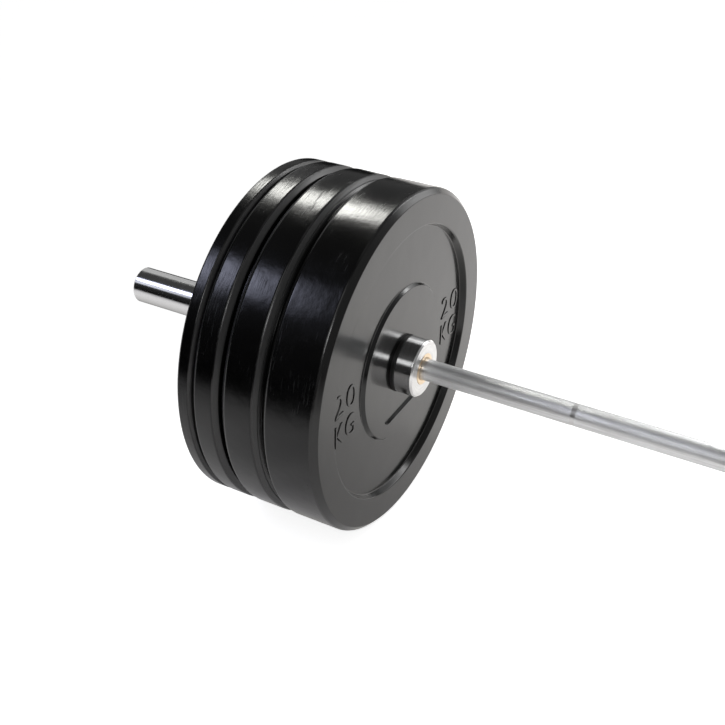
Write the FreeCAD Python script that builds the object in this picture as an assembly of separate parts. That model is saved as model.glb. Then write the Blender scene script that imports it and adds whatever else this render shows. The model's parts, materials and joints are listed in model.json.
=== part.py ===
import FreeCAD, Part
import os
from dataclasses import dataclass

# Olympic barbell, loaded at each end with four rubber bumper plates.
# Millimetres, X along the bar, Z up, origin on the axis at the middle of the bar.
# Nearly every piece is turned: its outline is a list of (reach, radius) corners, where reach is the
# distance from the middle of the bar, and the outline is revolved about X. The pieces of the left
# end are those of the right end turned half round about Z.

# Shaft
SHAFT_DIAMETER = 28.0
GRIP_LENGTH = 1310.0            # between the inner faces of the two collars
RING_MARK_SPACING = 910.0       # the smooth rings in the grip that place the hands
RING_MARK_WIDTH = 6.0
RING_MARK_DEPTH = 0.3
SHAFT_END_MARGIN = 6.0          # shaft left beyond the outer circlip
SHAFT_END_CHAMFER = 1.0

# Sleeve and collar
SLEEVE_DIAMETER = 49.9
SLEEVE_LENGTH = 445.0           # from the collar's inner face to the sleeve's end
SLEEVE_END_CHAMFER = 1.0
COLLAR_DIAMETER = 75.0
COLLAR_LENGTH = 25.0
COLLAR_SEAT_STEP = 2.0          # the sleeve is turned down by this, all round, under the collar
COLLAR_LIP = 5.0                # wall of the collar in front of the sleeve
COLLAR_FACE_CHAMFER = 2.0
COLLAR_BACK_CHAMFER = 1.0

# Bronze bushings
BUSHING_DIAMETER = 36.0
INNER_BUSHING_LENGTH = 70.0
OUTER_BUSHING_LENGTH = 40.0
BUSHING_FLANGE_DIAMETER = 41.0
BUSHING_FLANGE_THICKNESS = 2.5
BUSHING_FLANGE_PROUD = 0.6      # how far the flange stands out of the collar's face
BUSHING_MOUTH_CHAMFER = 2.0

# Washers and circlips that hold the sleeve on the shaft, one pair each side of the outer bushing
WASHER_DIAMETER = 35.0
WASHER_THICKNESS = 2.0
SHAFT_CIRCLIP_DIAMETER = 33.0
SHAFT_CIRCLIP_THICKNESS = 1.5
SHAFT_CIRCLIP_DEPTH = 0.8       # depth of its groove in the shaft
SHAFT_CIRCLIP_OPENING = 9.0

# End cap and the circlip that holds it in the sleeve
CAP_DIAMETER = 40.0
CAP_EDGE = 3.0
CAP_CROWN = 1.2                 # rise of the raised middle above the edge
CAP_CROWN_TO_CLIP = 1.5         # free space between the raised middle and the circlip's ears
CAP_TO_SHAFT = 6.0              # free space between the cap and the shaft's end
CAP_CIRCLIP_THICKNESS = 1.5
CAP_CIRCLIP_DEPTH = 1.2         # depth of its groove in the sleeve
CAP_CIRCLIP_WIDTH = 2.6
CAP_CIRCLIP_OPENING = 10.0
CAP_CIRCLIP_LUG = 5.0           # diameter of the ear at each side of the opening
CAP_CIRCLIP_HOLE = 2.0          # plier hole in each ear
CAP_CIRCLIP_TO_END = 2.5        # sleeve left beyond the groove

# Bumper plates
PLATE_DIAMETER = 450.0
HUB_DIAMETER = 75.0
HUB_PROUD = 0.5                 # how far the steel hub stands out of the rim's faces
HUB_ANCHOR_DIAMETER = 100.0     # buried flange that keys the hub into the rubber
HUB_ANCHOR_THICKNESS = 5.0
RECESS_DIAMETER = 361.0         # outer edge of the sunk ring in each face
RECESS_DRAFT = 0.42             # how far its wall leans in for each unit of its depth
BOSS_DIAMETER = 202.0           # raised middle of each face
BOSS_DRAFT = 0.76               # how far its wall leans out for each unit of its height
BEVEL_LEAN = 1.15               # drop of the rim's bevel for each unit along the bar
LABEL_LENGTH = 101.0            # bare sunk field for a label, below the hub on each face
LABEL_HEIGHT = 29.5
LABEL_DEPTH = 3.0
LABEL_DROP = 57.6               # from the bar's axis down to the middle of the field

# Sizes that differ from plate to plate: width, the rim's bevel along the bar, and the depths of the
# sunk ring and of the boss below the rim
PLATE_20_WIDTH = 74.0
PLATE_20_BEVEL = 6.5
PLATE_20_RECESS = 8.3
PLATE_20_BOSS_DROP = 4.0
PLATE_15_WIDTH = 59.0
PLATE_15_BEVEL = 10.3
PLATE_15_RECESS = 7.0
PLATE_15_BOSS_DROP = 3.3
PLATE_10_WIDTH = 36.0
PLATE_10_BEVEL = 5.8
PLATE_10_RECESS = 5.6
PLATE_10_BOSS_DROP = 2.6
PLATE_5_WIDTH = 20.0
PLATE_5_BEVEL = 3.3
PLATE_5_RECESS = 3.5
PLATE_5_BOSS_DROP = 1.6

# Fits
RUNNING_CLEARANCE = 0.05        # radial, shaft in its bushings
SEAT_CLEARANCE = 0.02           # pressed, moulded and snapped-in seats
WASHER_CLEARANCE = 0.1          # radial, washer on the shaft
PLATE_CLEARANCE = 0.65          # radial, plate on the sleeve
END_FLOAT = 0.3                 # axial, outer bushing between its washers


@dataclass(frozen=True)
class Plate:
    """One bumper plate: its mark in kilograms and the sizes that differ from plate to plate."""

    mark: int
    width: float
    bevel: float
    recess: float
    boss_drop: float


# In the order in which they go on the sleeve
PLATES = (
    Plate(20, PLATE_20_WIDTH, PLATE_20_BEVEL, PLATE_20_RECESS, PLATE_20_BOSS_DROP),
    Plate(15, PLATE_15_WIDTH, PLATE_15_BEVEL, PLATE_15_RECESS, PLATE_15_BOSS_DROP),
    Plate(10, PLATE_10_WIDTH, PLATE_10_BEVEL, PLATE_10_RECESS, PLATE_10_BOSS_DROP),
    Plate(5, PLATE_5_WIDTH, PLATE_5_BEVEL, PLATE_5_RECESS, PLATE_5_BOSS_DROP),
)

ORIGIN = FreeCAD.Vector(0, 0, 0)
X_AXIS = FreeCAD.Vector(1, 0, 0)
Z_AXIS = FreeCAD.Vector(0, 0, 1)

SHAFT_RADIUS = SHAFT_DIAMETER / 2
SLEEVE_RADIUS = SLEEVE_DIAMETER / 2
COLLAR_RADIUS = COLLAR_DIAMETER / 2
COLLAR_SEAT_RADIUS = SLEEVE_RADIUS - COLLAR_SEAT_STEP
BUSHING_RADIUS = BUSHING_DIAMETER / 2
BUSHING_FLANGE_RADIUS = BUSHING_FLANGE_DIAMETER / 2
BUSHING_BORE_RADIUS = SHAFT_RADIUS + RUNNING_CLEARANCE
BUSHING_SEAT_RADIUS = BUSHING_RADIUS + SEAT_CLEARANCE
SHAFT_GROOVE_RADIUS = SHAFT_RADIUS - SHAFT_CIRCLIP_DEPTH
CAP_RADIUS = CAP_DIAMETER / 2
CAP_SEAT_RADIUS = CAP_RADIUS + SEAT_CLEARANCE
CAP_GROOVE_RADIUS = CAP_SEAT_RADIUS + CAP_CIRCLIP_DEPTH
HUB_RADIUS = HUB_DIAMETER / 2
PLATE_BORE_RADIUS = SLEEVE_RADIUS + PLATE_CLEARANCE
HUB_ANCHOR_RADIUS = HUB_ANCHOR_DIAMETER / 2

# Places along the bar, as reach from its middle
COLLAR_FACE = GRIP_LENGTH / 2
COLLAR_BACK = COLLAR_FACE + COLLAR_LENGTH
SLEEVE_START = COLLAR_FACE + COLLAR_LIP
SLEEVE_END = COLLAR_FACE + SLEEVE_LENGTH
FLANGE_FACE = COLLAR_FACE - BUSHING_FLANGE_PROUD
FLANGE_BACK = FLANGE_FACE + BUSHING_FLANGE_THICKNESS
CAP_GROOVE_END = SLEEVE_END - CAP_CIRCLIP_TO_END
CAP_FACE = CAP_GROOVE_END - CAP_CIRCLIP_THICKNESS
CAP_SEAT = CAP_FACE - CAP_EDGE
SHAFT_END = CAP_SEAT - CAP_TO_SHAFT
OUTER_CLIP_START = SHAFT_END - SHAFT_END_MARGIN - SHAFT_CIRCLIP_THICKNESS
OUTER_WASHER_START = OUTER_CLIP_START - WASHER_THICKNESS
OUTER_BUSHING_END = OUTER_WASHER_START - END_FLOAT
OUTER_BUSHING_START = OUTER_BUSHING_END - OUTER_BUSHING_LENGTH
INNER_WASHER_START = OUTER_BUSHING_START - END_FLOAT - WASHER_THICKNESS
INNER_CLIP_START = INNER_WASHER_START - SHAFT_CIRCLIP_THICKNESS
RING_MARK = RING_MARK_SPACING / 2


def turned(outline):
    """Revolve a closed outline of (reach, radius) corners about the bar's axis."""
    corners = [FreeCAD.Vector(reach, radius, 0) for reach, radius in outline]
    face = Part.Face(Part.makePolygon(corners + corners[:1]))
    return face.revolve(ORIGIN, X_AXIS, 360)


def ring(start, length, inner_radius, outer_radius):
    """A plain turned ring, such as a washer."""
    return turned([
        (start, inner_radius),
        (start, outer_radius),
        (start + length, outer_radius),
        (start + length, inner_radius),
    ])


def rod(start, length, radius, y, z):
    """A round rod along X, centred on (y, z)."""
    return Part.makeCylinder(radius, length, FreeCAD.Vector(start, y, z), X_AXIS)


def opening(start, length, width, reach_down):
    """The block cut out of a circlip to open it at the bottom."""
    corner = FreeCAD.Vector(start, -width / 2, -reach_down)
    return Part.makeBox(length, width, reach_down, corner)


def shaft():
    """The one-piece shaft, with ring marks in the grip and circlip grooves near each end."""
    ring_start = RING_MARK - RING_MARK_WIDTH / 2
    grooves = (
        (ring_start, RING_MARK_WIDTH, SHAFT_RADIUS - RING_MARK_DEPTH),
        (INNER_CLIP_START, SHAFT_CIRCLIP_THICKNESS, SHAFT_GROOVE_RADIUS),
        (OUTER_CLIP_START, SHAFT_CIRCLIP_THICKNESS, SHAFT_GROOVE_RADIUS),
    )
    half = []
    for start, width, floor in grooves:
        half += [
            (start, SHAFT_RADIUS),
            (start, floor),
            (start + width, floor),
            (start + width, SHAFT_RADIUS),
        ]
    half += [
        (SHAFT_END - SHAFT_END_CHAMFER, SHAFT_RADIUS),
        (SHAFT_END, SHAFT_RADIUS - SHAFT_END_CHAMFER),
        (SHAFT_END, 0),
    ]
    other_half = [(-reach, radius) for reach, radius in reversed(half)]
    return turned(other_half + half)


def sleeve():
    """The tube that carries the plates, bored for the bushings and counterbored for the end cap."""
    return turned([
        (SLEEVE_START, BUSHING_SEAT_RADIUS),
        (SLEEVE_START, COLLAR_SEAT_RADIUS),
        (COLLAR_BACK, COLLAR_SEAT_RADIUS),
        (COLLAR_BACK, SLEEVE_RADIUS),
        (SLEEVE_END - SLEEVE_END_CHAMFER, SLEEVE_RADIUS),
        (SLEEVE_END, SLEEVE_RADIUS - SLEEVE_END_CHAMFER),
        (SLEEVE_END, CAP_SEAT_RADIUS),
        (CAP_GROOVE_END, CAP_SEAT_RADIUS),
        (CAP_GROOVE_END, CAP_GROOVE_RADIUS),
        (CAP_FACE, CAP_GROOVE_RADIUS),
        (CAP_FACE, CAP_SEAT_RADIUS),
        (CAP_SEAT, CAP_SEAT_RADIUS),
        (CAP_SEAT, BUSHING_SEAT_RADIUS),
    ])


def collar():
    """The stop for the plates, pressed on the sleeve, with a lip that takes the bushing's flange."""
    seat_radius = COLLAR_SEAT_RADIUS + SEAT_CLEARANCE
    flange_seat_radius = BUSHING_FLANGE_RADIUS + SEAT_CLEARANCE
    return turned([
        (COLLAR_FACE, flange_seat_radius),
        (COLLAR_FACE, COLLAR_RADIUS - COLLAR_FACE_CHAMFER),
        (COLLAR_FACE + COLLAR_FACE_CHAMFER, COLLAR_RADIUS),
        (COLLAR_BACK - COLLAR_BACK_CHAMFER, COLLAR_RADIUS),
        (COLLAR_BACK, COLLAR_RADIUS - COLLAR_BACK_CHAMFER),
        (COLLAR_BACK, seat_radius),
        (SLEEVE_START, seat_radius),
        (SLEEVE_START, BUSHING_SEAT_RADIUS),
        (FLANGE_BACK, BUSHING_SEAT_RADIUS),
        (FLANGE_BACK, flange_seat_radius),
    ])


def inner_bushing():
    """The flanged bronze bushing that shows in the middle of the collar's face."""
    end = COLLAR_FACE + INNER_BUSHING_LENGTH
    return turned([
        (FLANGE_FACE, BUSHING_BORE_RADIUS + BUSHING_MOUTH_CHAMFER),
        (FLANGE_FACE, BUSHING_FLANGE_RADIUS),
        (FLANGE_BACK, BUSHING_FLANGE_RADIUS),
        (FLANGE_BACK, BUSHING_RADIUS),
        (end, BUSHING_RADIUS),
        (end, BUSHING_BORE_RADIUS),
        (FLANGE_FACE + BUSHING_MOUTH_CHAMFER, BUSHING_BORE_RADIUS),
    ])


def outer_bushing():
    """The plain bronze bushing that runs between the two washers."""
    return ring(OUTER_BUSHING_START, OUTER_BUSHING_LENGTH, BUSHING_BORE_RADIUS, BUSHING_RADIUS)


def thrust_washers():
    """The washer each side of the outer bushing."""
    inner_radius = SHAFT_RADIUS + WASHER_CLEARANCE
    starts = (INNER_WASHER_START, OUTER_WASHER_START)
    return Part.makeCompound([
        ring(start, WASHER_THICKNESS, inner_radius, WASHER_DIAMETER / 2) for start in starts
    ])


def shaft_circlip(start):
    """An open spring ring in its groove in the shaft."""
    inner_radius = SHAFT_GROOVE_RADIUS + SEAT_CLEARANCE
    whole = ring(start, SHAFT_CIRCLIP_THICKNESS, inner_radius, SHAFT_CIRCLIP_DIAMETER / 2)
    return whole.cut(
        opening(start, SHAFT_CIRCLIP_THICKNESS, SHAFT_CIRCLIP_OPENING, SHAFT_CIRCLIP_DIAMETER)
    )


def shaft_circlips():
    """The circlip behind each washer."""
    return Part.makeCompound([shaft_circlip(INNER_CLIP_START), shaft_circlip(OUTER_CLIP_START)])


def end_cap():
    """The disc that closes the sleeve, with a raised middle that clears the circlip."""
    crown_radius = CAP_RADIUS - CAP_CIRCLIP_LUG - CAP_CROWN_TO_CLIP
    return turned([
        (CAP_SEAT, 0),
        (CAP_SEAT, CAP_RADIUS),
        (CAP_FACE, CAP_RADIUS),
        (CAP_FACE, crown_radius),
        (CAP_FACE + CAP_CROWN, crown_radius - CAP_CROWN),
        (CAP_FACE + CAP_CROWN, 0),
    ])


def end_cap_circlip():
    """The spring ring in front of the end cap, with an eared opening at the bottom."""
    outer_radius = CAP_GROOVE_RADIUS - SEAT_CLEARANCE
    inner_radius = outer_radius - CAP_CIRCLIP_WIDTH
    clip = ring(CAP_FACE, CAP_CIRCLIP_THICKNESS, inner_radius, outer_radius)
    clip = clip.cut(opening(CAP_FACE, CAP_CIRCLIP_THICKNESS, CAP_CIRCLIP_OPENING, CAP_DIAMETER))
    lug_radius = CAP_CIRCLIP_LUG / 2
    side = CAP_CIRCLIP_OPENING / 2 + lug_radius
    ear_depth = CAP_RADIUS - SEAT_CLEARANCE - lug_radius
    drop = -((ear_depth ** 2 - side ** 2) ** 0.5)
    for y in (-side, side):
        clip = clip.fuse(rod(CAP_FACE, CAP_CIRCLIP_THICKNESS, lug_radius, y, drop))
    for y in (-side, side):
        clip = clip.cut(rod(CAP_FACE, CAP_CIRCLIP_THICKNESS, CAP_CIRCLIP_HOLE / 2, y, drop))
    return clip.removeSplitter()


def mirrored(face_outline):
    """An outline of (offset, radius) corners across one face, closed by its mirror on the other."""
    return face_outline + [(-offset, radius) for offset, radius in reversed(face_outline)]


def placed(outline, centre):
    """An outline about a plate's middle, moved out to the plate's place on the bar."""
    return [(centre + offset, radius) for offset, radius in outline]


def label_field(start, length):
    """The round-ended block cut out of a plate's face for its label."""
    radius = LABEL_HEIGHT / 2
    side = LABEL_LENGTH / 2 - radius
    corner = FreeCAD.Vector(start, -side, -LABEL_DROP - radius)
    block = Part.makeBox(length, 2 * side, LABEL_HEIGHT, corner)
    return block.fuse([rod(start, length, radius, y, -LABEL_DROP) for y in (-side, side)])


def plate_rubber(plate, centre):
    """The moulded rubber, keyed to the hub: bevelled rim, sunk ring, raised boss and label field."""
    rim = plate.width / 2
    web = rim - plate.recess
    boss = rim - plate.boss_drop
    hub_seat_radius = HUB_RADIUS + SEAT_CLEARANCE
    anchor_seat = HUB_ANCHOR_THICKNESS / 2 + SEAT_CLEARANCE
    outer_radius = PLATE_DIAMETER / 2
    recess_radius = RECESS_DIAMETER / 2
    boss_radius = BOSS_DIAMETER / 2
    field_depth = plate.boss_drop + LABEL_DEPTH
    blank = turned(placed(mirrored([
        (rim - plate.bevel, outer_radius),
        (rim, outer_radius - BEVEL_LEAN * plate.bevel),
        (rim, recess_radius),
        (web, recess_radius - RECESS_DRAFT * plate.recess),
        (web, boss_radius + BOSS_DRAFT * (boss - web)),
        (boss, boss_radius),
        (boss, hub_seat_radius),
        (anchor_seat, hub_seat_radius),
        (anchor_seat, HUB_ANCHOR_RADIUS + SEAT_CLEARANCE),
    ]), centre))
    starts = (centre - rim, centre + rim - field_depth)
    return blank.cut([label_field(start, field_depth) for start in starts])


def plate_hub(plate, centre):
    """The steel ring that slides on the sleeve, with a buried flange."""
    face = plate.width / 2 + HUB_PROUD
    anchor = HUB_ANCHOR_THICKNESS / 2
    return turned(placed(mirrored([
        (anchor, HUB_ANCHOR_RADIUS),
        (anchor, HUB_RADIUS),
        (face, HUB_RADIUS),
        (face, PLATE_BORE_RADIUS),
    ]), centre))


def end_pieces():
    """Every piece of the right end of the bar, by name."""
    pieces = {
        "sleeve": sleeve(),
        "collar": collar(),
        "inner_bushing": inner_bushing(),
        "outer_bushing": outer_bushing(),
        "thrust_washers": thrust_washers(),
        "shaft_circlips": shaft_circlips(),
        "end_cap": end_cap(),
        "end_cap_circlip": end_cap_circlip(),
    }
    inner_face = COLLAR_BACK
    for plate in PLATES:
        hub_length = plate.width + 2 * HUB_PROUD
        centre = inner_face + hub_length / 2
        pieces[f"plate_{plate.mark}_rubber"] = plate_rubber(plate, centre)
        pieces[f"plate_{plate.mark}_hub"] = plate_hub(plate, centre)
        inner_face += hub_length
    return pieces


def write(name, shape):
    """Save one piece as its own file."""
    shape.exportStep(f"parts/{name}.step")


os.makedirs("parts", exist_ok=True)
write("shaft", shaft())
for name, piece in end_pieces().items():
    write(f"right_{name}", piece)
    left_piece = piece.copy()
    left_piece.rotate(ORIGIN, Z_AXIS, 180)
    write(f"left_{name}", left_piece)
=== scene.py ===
"""Looks of an olympic barbell loaded with four rubber bumper plates at each end.

The sizes of the pieces are in millimetres and become metres as a mesh is made. Reliefs, lights and the
camera are in metres. X runs along the bar, Z is up, and the origin is on the bar's axis at its middle.
"""

from __future__ import annotations

import json
import logging
import math
from collections.abc import Callable, Iterable, Mapping, Sequence
from dataclasses import dataclass
from enum import Enum
from typing import Any

import bmesh
import bpy
from mathutils import Matrix, Vector

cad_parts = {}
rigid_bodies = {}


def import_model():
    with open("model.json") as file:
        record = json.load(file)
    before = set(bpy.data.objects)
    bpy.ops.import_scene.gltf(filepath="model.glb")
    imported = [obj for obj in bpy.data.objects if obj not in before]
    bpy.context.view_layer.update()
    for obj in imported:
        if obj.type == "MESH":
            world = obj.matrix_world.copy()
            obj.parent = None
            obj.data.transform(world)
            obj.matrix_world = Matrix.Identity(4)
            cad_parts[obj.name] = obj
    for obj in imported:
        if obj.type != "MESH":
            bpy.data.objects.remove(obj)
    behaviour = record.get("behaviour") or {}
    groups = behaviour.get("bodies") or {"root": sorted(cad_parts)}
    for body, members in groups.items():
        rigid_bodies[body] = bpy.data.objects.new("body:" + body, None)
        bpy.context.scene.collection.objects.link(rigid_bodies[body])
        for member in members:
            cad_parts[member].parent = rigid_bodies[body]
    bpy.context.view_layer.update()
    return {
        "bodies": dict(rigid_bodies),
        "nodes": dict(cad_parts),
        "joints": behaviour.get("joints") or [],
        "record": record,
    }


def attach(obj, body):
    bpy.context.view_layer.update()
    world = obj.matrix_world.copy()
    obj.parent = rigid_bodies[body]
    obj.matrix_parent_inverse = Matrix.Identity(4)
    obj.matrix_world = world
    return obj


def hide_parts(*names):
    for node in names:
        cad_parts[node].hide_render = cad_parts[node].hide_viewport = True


LOG = logging.getLogger("barbell")
MM = 0.001
SNAP = 1e-5
SMOOTH_ANGLE = math.radians(40)
FLAT_FACE_WEIGHT = 80
UPRIGHT = Matrix(((0, 0, 1, 0), (1, 0, 0, 0), (0, 1, 0, 0), (0, 0, 0, 1)))
FACE_TURNS = (Matrix.Identity(4), Matrix.Rotation(math.pi, 4, "Z"))


class End(Enum):
    """The two ends of the bar."""

    LEFT = "left"
    RIGHT = "right"

    def node(self, piece: str) -> str:
        """Name of a piece at this end."""
        return f"{self.value}_{piece}"


# Shader maths


class Wire:
    """A value in a material, with the arithmetic of a number."""

    def __init__(self, shader: Shader, socket: bpy.types.NodeSocket) -> None:
        """Wrap an output socket of one of the shader's nodes."""
        self.shader = shader
        self.socket = socket

    def _math(self, operation: str, *values: Any) -> Wire:
        """Add a Math node for one operation."""
        return self.shader.node("ShaderNodeMath", {"operation": operation}, dict(enumerate(values)))

    def __add__(self, other: Any) -> Wire:
        """Sum of two values."""
        return self._math("ADD", self, other)

    __radd__ = __add__

    def __mul__(self, other: Any) -> Wire:
        """Product of two values."""
        return self._math("MULTIPLY", self, other)

    __rmul__ = __mul__

    def __sub__(self, other: Any) -> Wire:
        """Difference of two values."""
        return self._math("SUBTRACT", self, other)

    def __rsub__(self, other: Any) -> Wire:
        """Difference of two values, the other way round."""
        return self._math("SUBTRACT", other, self)

    def __pow__(self, other: Any) -> Wire:
        """Power of a value."""
        return self._math("POWER", self, other)

    def larger(self, other: Any) -> Wire:
        """The larger of two values."""
        return self._math("MAXIMUM", self, other)

    def angle_to(self, other: Any) -> Wire:
        """Angle whose tangent is this value over the other."""
        return self._math("ARCTAN2", self, other)

    def ramp(self, low: float, high: float) -> Wire:
        """0 below low, 1 above high and a smooth rise between them.

        Args:
            low: Value at which the rise starts.
            high: Value at which the rise ends.

        Returns:
            The eased value.
        """
        settings = {"interpolation_type": "SMOOTHSTEP", "clamp": True}
        sockets = {"Value": self, "From Min": low, "From Max": high}
        return self.shader.node("ShaderNodeMapRange", settings, sockets)

    def ramp_mm(self, low: float, high: float) -> Wire:
        """A ramp between two places in millimetres, for a value in metres."""
        return self.ramp(low * MM, high * MM)


class Shader:
    """A node tree that is filled through one method."""

    def __init__(self, tree: bpy.types.NodeTree) -> None:
        """Empty the tree and keep it."""
        self.tree = tree
        self.tree.nodes.clear()

    @classmethod
    def for_material(cls, name: str) -> tuple[Shader, bpy.types.Material]:
        """Make a new material.

        Args:
            name: Name of the material.

        Returns:
            The shader that fills the material, and the material.
        """
        material = bpy.data.materials.new(name)
        material.use_nodes = True
        return cls(material.node_tree), material

    def node(
        self,
        kind: str,
        settings: Mapping[str, Any] | None = None,
        sockets: Mapping[str | int, Any] | None = None,
        output: str | int = 0,
    ) -> Wire:
        """Add a node.

        Args:
            kind: Type of the node.
            settings: Properties of the node, set before its sockets.
            sockets: Value or wire of each input, by name or number.
            output: Output to return, by name or number.

        Returns:
            The wire of that output.
        """
        made = self.tree.nodes.new(kind)
        for key, value in (settings or {}).items():
            setattr(made, key, value)
        for key, value in (sockets or {}).items():
            if isinstance(value, Wire):
                self.tree.links.new(value.socket, made.inputs[key])
            else:
                made.inputs[key].default_value = value
        return Wire(self, made.outputs[output])

    def place(self) -> Wire:
        """Place on the piece, in metres."""
        return self.node("ShaderNodeTexCoord", output="Object")

    def split(self, vector: Wire) -> tuple[Wire, Wire, Wire]:
        """The three parts of a vector."""
        parts = self.node("ShaderNodeSeparateXYZ", sockets={0: vector}).socket.node
        return Wire(self, parts.outputs[0]), Wire(self, parts.outputs[1]), Wire(self, parts.outputs[2])

    def around_bar(self) -> tuple[Wire, Wire, Wire]:
        """Place as turned about the bar's axis.

        Returns:
            Place along the bar, angle about it and distance from it.
        """
        along, across, up = self.split(self.place())
        return along, up.angle_to(across), (across * across + up * up) ** 0.5

    def vector(self, x: Any, y: Any, z: Any) -> Wire:
        """A vector of three values."""
        return self.node("ShaderNodeCombineXYZ", sockets={0: x, 1: y, 2: z})

    def noise(self, vector: Wire, scale: float, detail: float = 3.0, roughness: float = 0.5) -> Wire:
        """Cloudy values about 0.5.

        Args:
            vector: Where to read the noise.
            scale: How many clouds there are to a unit of the vector.
            detail: How many finer layers are added.
            roughness: How strong the finer layers are.

        Returns:
            The value of the noise.
        """
        sockets = {"Vector": vector, "Scale": scale, "Detail": detail, "Roughness": roughness}
        return self.node("ShaderNodeTexNoise", sockets=sockets)

    def mix(self, factor: Any, first: Any, second: Any) -> Wire:
        """A colour between two colours."""
        settings = {"data_type": "RGBA"}
        return self.node("ShaderNodeMix", settings, {0: factor, 6: first, 7: second}, output=2)

    def bump(self, height: Wire, distance: float, strength: float = 1.0, below: Wire | None = None) -> Wire:
        """A normal for a relief.

        Args:
            height: Relief, from 0 to 1.
            distance: Height of the relief in metres.
            strength: Share of the relief that shows.
            below: Normal that this relief lies on.

        Returns:
            The normal.
        """
        sockets: dict[str | int, Any] = {"Height": height, "Distance": distance, "Strength": strength}
        if below is not None:
            sockets["Normal"] = below
        return self.node("ShaderNodeBump", sockets=sockets)

    def principled(self, **inputs: Any) -> None:
        """Finish a material with one Principled shader.

        Args:
            inputs: Value or wire of each input, with _ for a blank in its name.
        """
        sockets = {name.replace("_", " "): value for name, value in inputs.items()}
        surface = self.node("ShaderNodeBsdfPrincipled", sockets=sockets)
        self.node_output(surface)

    def node_output(self, surface: Wire, kind: str = "ShaderNodeOutputMaterial") -> None:
        """Link a shader to the tree's output."""
        made = self.tree.nodes.new(kind)
        self.tree.links.new(surface.socket, made.inputs["Surface"])


Colour = tuple[float, float, float, float]
Span = tuple[float, float]


def grey(level: float, warmth: float = 0.0) -> Colour:
    """A grey.

    Args:
        level: Brightness.
        warmth: Share by which red is raised and blue is lowered.

    Returns:
        The colour.
    """
    return level * (1 + warmth), level, level * (1 - warmth), 1.0


# Finishes


@dataclass(frozen=True)
class RubberFinish:
    """Glossy moulded rubber with handling marks on its tread and painted sheen on the outer plates' bevels.
    """

    name: str = "moulded_rubber"
    black: float = 0.002
    # Grey of the dusting and of the painted sheen on the bevels of the outer plates.
    dust: float = 0.05
    gloss: float = 0.15
    tread: Span = (221.5, 223.5)
    bevel_foot: Span = (215.5, 220.5)
    bevel_top: Span = (223.5, 224.5)
    # Bevels of plates beyond this reach get painted sheen: a lighter colour standing in for the light they
    # reflect.
    dusty_from: Span = (757.0, 759.0)
    patch_edge: Span = (0.46, 0.62)
    scratch_edge: Span = (0.56, 0.72)
    dusty_cloud: Span = (0.5, 0.8)
    dull_cloud: Span = (0.35, 0.7)
    streak_turn: float = 0.4
    streak_across: float = 16.0
    scratch_dust: float = 0.12
    cloud_dust: float = 0.04
    # Painted sheen on those bevels, plain and cloudy: a lighter colour standing in for reflected light.
    bevel_dust: float = 0.5
    bevel_cloud_dust: float = 0.4
    cloud_dull: float = 0.04
    patch_dull: float = 0.05
    scratch_dull: float = 0.18
    bevel_dull: float = 0.2

    def material(self) -> bpy.types.Material:
        """Make the material.

        Returns:
            The finished material.
        """
        shader, material = Shader.for_material(self.name)
        place = shader.place()
        along, angle, radius = shader.around_bar()
        tread = radius.ramp_mm(*self.tread)
        clouds = shader.noise(place, scale=9, detail=4)
        patches = shader.noise(place, scale=15, detail=2).ramp(*self.patch_edge) * tread
        stretched = shader.vector(
            angle * self.streak_turn, along * self.streak_across, radius * self.streak_across
        )
        streaks = shader.noise(stretched, scale=26, detail=3, roughness=0.6)
        scratches = streaks.ramp(*self.scratch_edge) * patches
        ripple = shader.noise(place, scale=26, detail=1)
        waves = shader.noise(place, scale=95, detail=2) * tread
        grain = shader.noise(place, scale=900, detail=2)
        # Painted sheen: the bevels of the outer plates are painted lighter, standing in for the light they
        # reflect.
        outer = along.larger(0 - along).ramp_mm(*self.dusty_from)
        bevel = radius.ramp_mm(*self.bevel_foot) * (1 - radius.ramp_mm(*self.bevel_top)) * outer
        # Dusting from scratches and clouds, plus the painted sheen on the outer plates' bevels.
        dust_and_sheen = scratches * self.scratch_dust + clouds.ramp(*self.dusty_cloud) * self.cloud_dust
        dust_and_sheen = dust_and_sheen + bevel * (clouds * self.bevel_cloud_dust + self.bevel_dust)
        base = shader.mix(dust_and_sheen, grey(self.black), grey(self.dust))
        rough = clouds.ramp(*self.dull_cloud) * self.cloud_dull + patches * self.patch_dull
        rough = rough + scratches * self.scratch_dull + bevel * self.bevel_dull + self.gloss
        relief = shader.bump(ripple, distance=0.0009, strength=0.25)
        relief = shader.bump(waves, distance=0.0003, strength=0.5, below=relief)
        relief = shader.bump(streaks * patches, distance=0.0004, strength=0.6, below=relief)
        relief = shader.bump(grain, distance=0.00003, strength=0.3, below=relief)
        shader.principled(Base_Color=base, Roughness=rough, IOR=1.5, Normal=relief)
        return material


@dataclass(frozen=True)
class ChromeFinish:
    """Polished chrome with fine marks round the piece."""

    name: str
    level: float = 0.68
    gloss: float = 0.07
    marks: float = 0.10
    mark_edge: Span = (0.45, 0.75)
    worn_edge: Span = (0.4, 0.8)
    ring_turn: float = 0.15
    ring_across: float = 60.0
    rub_turn: float = 1.2
    rub_across: float = 6.0
    rub_dull: float = 0.04
    worn_share: float = 0.35
    worn_level: float = 0.86

    def material(self) -> bpy.types.Material:
        """Make the material.

        Returns:
            The finished material.
        """
        shader, material = Shader.for_material(self.name)
        along, angle, radius = shader.around_bar()
        rings = shader.vector(angle * self.ring_turn, along * self.ring_across, radius * self.ring_across)
        fine = shader.noise(rings, scale=26, detail=2, roughness=0.6)
        spread = shader.vector(angle * self.rub_turn, along * self.rub_across, radius * self.rub_across)
        rubs = shader.noise(spread, scale=12, detail=3)
        rough = fine.ramp(*self.mark_edge) * self.marks + rubs.ramp(*self.mark_edge) * self.rub_dull
        rough = rough + self.gloss
        worn = rubs.ramp(*self.worn_edge) * self.worn_share
        base = shader.mix(worn, grey(self.level), grey(self.level * self.worn_level))
        relief = shader.bump(fine, distance=0.00002, strength=0.3)
        shader.principled(Base_Color=base, Metallic=1.0, Roughness=rough, Normal=relief)
        return material


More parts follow.
